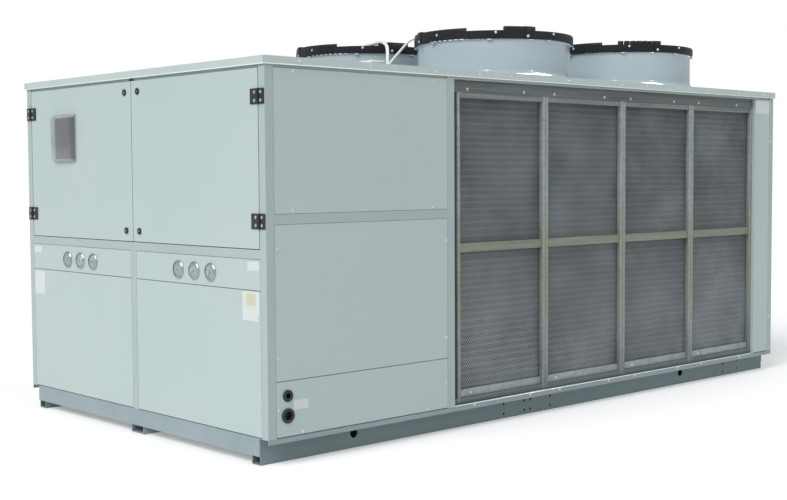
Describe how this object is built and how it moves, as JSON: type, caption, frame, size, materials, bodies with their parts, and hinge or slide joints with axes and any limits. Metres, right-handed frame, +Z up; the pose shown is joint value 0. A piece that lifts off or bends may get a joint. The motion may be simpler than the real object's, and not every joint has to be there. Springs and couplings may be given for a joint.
{
  "type": "air-cooled water chiller",
  "caption": "Air-cooled water chiller: sheet-steel cabinet on a welded base, hinged control doors, side condenser coils and roof fans in flared shrouds.",
  "frame": {"origin": "middle of the underside of the middle base runner, on the ground", "axes": "+Z up, -Y out of the door end, +X towards the side with the cable entries"},
  "size_m": [2.19, 4.155, 2.0828],
  "materials": {
    "cabinet_paint": "satin light grey powder coat on sheet steel",
    "base_paint": "satin blue-grey paint on welded steel",
    "shroud_paint": "glossy light blue-grey paint on pressed steel",
    "galvanised": "zinc-coated sheet steel, dull",
    "coil_fins": "thin corrugated fins, dull",
    "clear_cover": "clear moulded plastic cover",
    "black_plastic": "black glass-filled plastic",
    "black_rubber": "black rubber",
    "gauge_case": "steel bezel with a white dial behind glass",
    "guard_black": "black coated steel wire and band",
    "rotor_grey": "cast aluminium blades",
    "white_sheath": "white flexible plastic"
  },
  "bodies": {
    "unit": {"base_deck": "base_paint", "base_end_beams": "base_paint", "base_middle_runner": "base_paint", "base_side_runners": "base_paint", "cable_box": "white_sheath", "cable_entries": "black_rubber", "coil_end_panels": "cabinet_paint", "coil_frame_left": "galvanised", "coil_frame_right": "galvanised", "coil_header_rails": "galvanised", "coil_sills": "galvanised", "condenser_coil_left": "coil_fins", "condenser_coil_right": "coil_fins", "control_cabinet": "cabinet_paint", "fan_decks": "cabinet_paint", "fan_guard_1": "guard_black", "fan_guard_2": "guard_black", "fan_guard_3": "guard_black", "fan_guard_4": "guard_black", "fan_lead_left": "white_sheath", "fan_lead_right": "white_sheath", "fan_rotor_1": "rotor_grey", "fan_rotor_2": "rotor_grey", "fan_rotor_3": "rotor_grey", "fan_rotor_4": "rotor_grey", "fan_shroud_1": "shroud_paint", "fan_shroud_2": "shroud_paint", "fan_shroud_3": "shroud_paint", "fan_shroud_4": "shroud_paint", "front_centre_post": "cabinet_paint", "front_corner_posts": "cabinet_paint", "front_mid_rail": "cabinet_paint", "gauge_panels": "cabinet_paint", "lower_front_panels": "cabinet_paint", "machine_room_roof": "cabinet_paint", "mounting_plate": "galvanised", "plenum_bulkhead": "galvanised", "post_hinge_plates": "black_plastic", "pressure_gauges": "gauge_case", "rear_centre_post": "cabinet_paint", "rear_corner_posts": "cabinet_paint", "rear_mid_rail": "cabinet_paint", "rear_panels": "cabinet_paint", "roof_trim": "cabinet_paint", "service_panels": "cabinet_paint", "side_mid_rails": "cabinet_paint", "side_panels_lower": "cabinet_paint", "side_panels_upper": "cabinet_paint", "side_posts": "cabinet_paint", "skirts": "cabinet_paint", "top_rails": "cabinet_paint"},
    "left_door": {"door_left": "cabinet_paint", "door_hinge_plates_left": "black_plastic", "latches_left": "black_plastic", "inspection_window": "clear_cover"},
    "right_door": {"door_right": "cabinet_paint", "door_hinge_plates_right": "black_plastic", "latches_right": "black_plastic"}
  },
  "joints": [
    {"name": "left_door_hinge", "type": "hinge", "parent": "unit", "child": "left_door", "pos_m": [-1.041, -2.0645, 1.354], "axis": [0, 0, -1], "range_deg": [0, 110]},
    {"name": "right_door_hinge", "type": "hinge", "parent": "unit", "child": "right_door", "pos_m": [1.041, -2.0645, 1.354], "axis": [0, 0, 1], "range_deg": [0, 110]}
  ]
}
